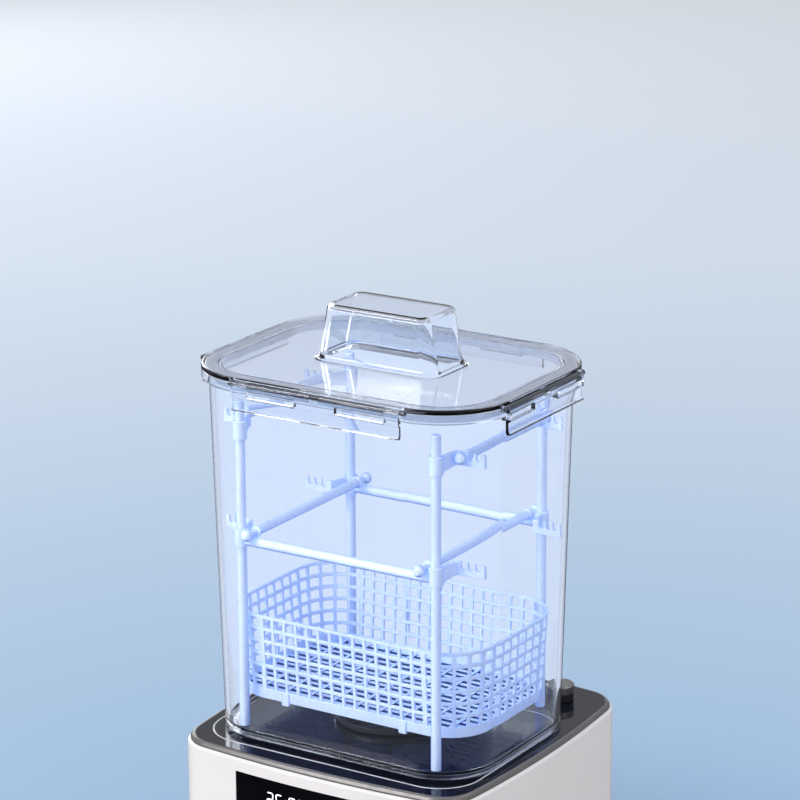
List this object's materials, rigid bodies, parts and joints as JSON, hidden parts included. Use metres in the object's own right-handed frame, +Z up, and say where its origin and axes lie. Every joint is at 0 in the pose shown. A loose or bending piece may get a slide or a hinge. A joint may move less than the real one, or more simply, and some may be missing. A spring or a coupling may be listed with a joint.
{
  "type": "resin wash station",
  "caption": "Wash station for resin prints: clear lidded bucket with latches, hanging rack, mesh basket and magnetic impeller on a motor base with display and knob.",
  "frame": {"origin": "centre of the base's footprint, at the bottom of its feet", "axes": "+Z up, +X to the right, display faces -Y"},
  "size_m": [0.1954, 0.192, 0.3527],
  "materials": {
    "shell": "satin white moulded plastic",
    "bottom": "dark textured plastic",
    "feet": "matte rubber",
    "steel": "plain steel",
    "deck": "glossy dark grey",
    "trim": "satin silver-grey",
    "display": "gloss black",
    "circuit": "solder mask",
    "black": "matte black",
    "button": "satin light grey",
    "knob_metal": "brushed",
    "magnet": "plated",
    "clear": "clear moulded plastic",
    "latch": "clear moulded plastic",
    "gasket": "silicone",
    "ice": "translucent pale blue",
    "basket": "translucent pale blue"
  },
  "bodies": {
    "base": {"base_shell": "shell", "base_bottom": "bottom", "base_feet": "feet", "bottom_screws": "steel", "deck": "deck", "trim_ring": "trim", "display_window": "display", "display_board": "circuit", "control_board": "circuit", "motor": "steel", "motor_bracket": "steel", "motor_screws": "steel", "power_inlet": "black", "knob_encoder": "steel"},
    "power_button": {"button_power": "button"},
    "mode_button": {"button_mode": "button"},
    "start_button": {"button_start": "button"},
    "knob": {"knob_cap": "knob_metal", "knob_skirt": "black", "knob_shaft": "steel"},
    "rotor": {"motor_shaft": "steel", "magnet_carrier": "black", "drive_magnets": "magnet"},
    "bucket": {"bucket": "clear", "impeller_pin": "steel"},
    "impeller": {"impeller": "black", "impeller_magnets": "magnet"},
    "rack": {"post_front_left": "ice", "post_front_right": "ice", "post_rear_left": "ice", "post_rear_right": "ice", "crossbar_front": "ice", "crossbar_rear": "ice", "bracket_upper_front_left": "ice", "bracket_upper_front_right": "ice", "bracket_upper_rear_left": "ice", "bracket_upper_rear_right": "ice", "bracket_lower_front_left": "ice", "bracket_lower_front_right": "ice", "bracket_lower_rear_left": "ice", "bracket_lower_rear_right": "ice"},
    "basket": {"basket": "basket"},
    "lid": {"lid": "clear", "lid_gasket": "gasket", "latch_pins": "steel"},
    "rod_upper_left": {"rod_upper_left": "ice"},
    "rod_upper_right": {"rod_upper_right": "ice"},
    "rod_lower_left": {"rod_lower_left": "ice"},
    "rod_lower_right": {"rod_lower_right": "ice"},
    "latch_front": {"latch_front": "latch"},
    "latch_rear": {"latch_rear": "latch"},
    "latch_left": {"latch_left": "latch"},
    "latch_right": {"latch_right": "latch"}
  },
  "joints": [
    {"name": "power_press", "type": "slide", "parent": "base", "child": "power_button", "axis": [0, 1, 0], "range_m": [0, 0.0012], "stiffness_N_per_m": 300},
    {"name": "mode_press", "type": "slide", "parent": "base", "child": "mode_button", "axis": [0, 1, 0], "range_m": [0, 0.0012], "stiffness_N_per_m": 300},
    {"name": "start_press", "type": "slide", "parent": "base", "child": "start_button", "axis": [0, 1, 0], "range_m": [0, 0.0012], "stiffness_N_per_m": 300},
    {"name": "knob_turn", "type": "hinge", "parent": "base", "child": "knob", "pos_m": [0.063, 0.068, 0.112], "axis": [0, 0, 1], "range_deg": [-150, 150]},
    {"name": "rotor_spin", "type": "hinge", "parent": "base", "child": "rotor", "pos_m": [0, -0.01, 0.1], "axis": [0, 0, 1], "continuous": true},
    {"name": "bucket_lift", "type": "slide", "parent": "base", "child": "bucket", "axis": [0, 0, 1], "range_m": [0, 0.06]},
    {"name": "impeller_spin", "type": "hinge", "parent": "bucket", "child": "impeller", "pos_m": [0, -0.01, 0.1157], "axis": [0, 0, 1], "continuous": true},
    {"name": "rack_lift", "type": "slide", "parent": "bucket", "child": "rack", "axis": [0, 0, 1], "range_m": [0, 0.21]},
    {"name": "basket_lift", "type": "slide", "parent": "rack", "child": "basket", "axis": [0, 0, 1], "range_m": [0, 0.03]},
    {"name": "rod_upper_left_lift", "type": "slide", "parent": "rack", "child": "rod_upper_left", "axis": [0, 0, 1], "range_m": [0, 0.014]},
    {"name": "rod_upper_right_lift", "type": "slide", "parent": "rack", "child": "rod_upper_right", "axis": [0, 0, 1], "range_m": [0, 0.014]},
    {"name": "rod_lower_left_lift", "type": "slide", "parent": "rack", "child": "rod_lower_left", "axis": [0, 0, 1], "range_m": [0, 0.012]},
    {"name": "rod_lower_right_lift", "type": "slide", "parent": "rack", "child": "rod_lower_right", "axis": [0, 0, 1], "range_m": [0, 0.012]},
    {"name": "lid_lift", "type": "slide", "parent": "rack", "child": "lid", "axis": [0, 0, 1], "range_m": [0, 0.08]},
    {"name": "latch_front_open", "type": "hinge", "parent": "lid", "child": "latch_front", "pos_m": [0, -0.0843, 0.319], "axis": [-1, 0, 0], "range_deg": [0, 100]},
    {"name": "latch_rear_open", "type": "hinge", "parent": "lid", "child": "latch_rear", "pos_m": [0, 0.0643, 0.319], "axis": [1, 0, 0], "range_deg": [0, 100]},
    {"name": "latch_left_open", "type": "hinge", "parent": "lid", "child": "latch_left", "pos_m": [-0.0954, -0.01, 0.319], "axis": [0, 1, 0], "range_deg": [0, 100]},
    {"name": "latch_right_open", "type": "hinge", "parent": "lid", "child": "latch_right", "pos_m": [0.0954, -0.01, 0.319], "axis": [0, -1, 0], "range_deg": [0, 100]}
  ],
  "couplings": [
    {"joint": "impeller_spin", "follows": "rotor_spin", "ratio": 1}
  ]
}
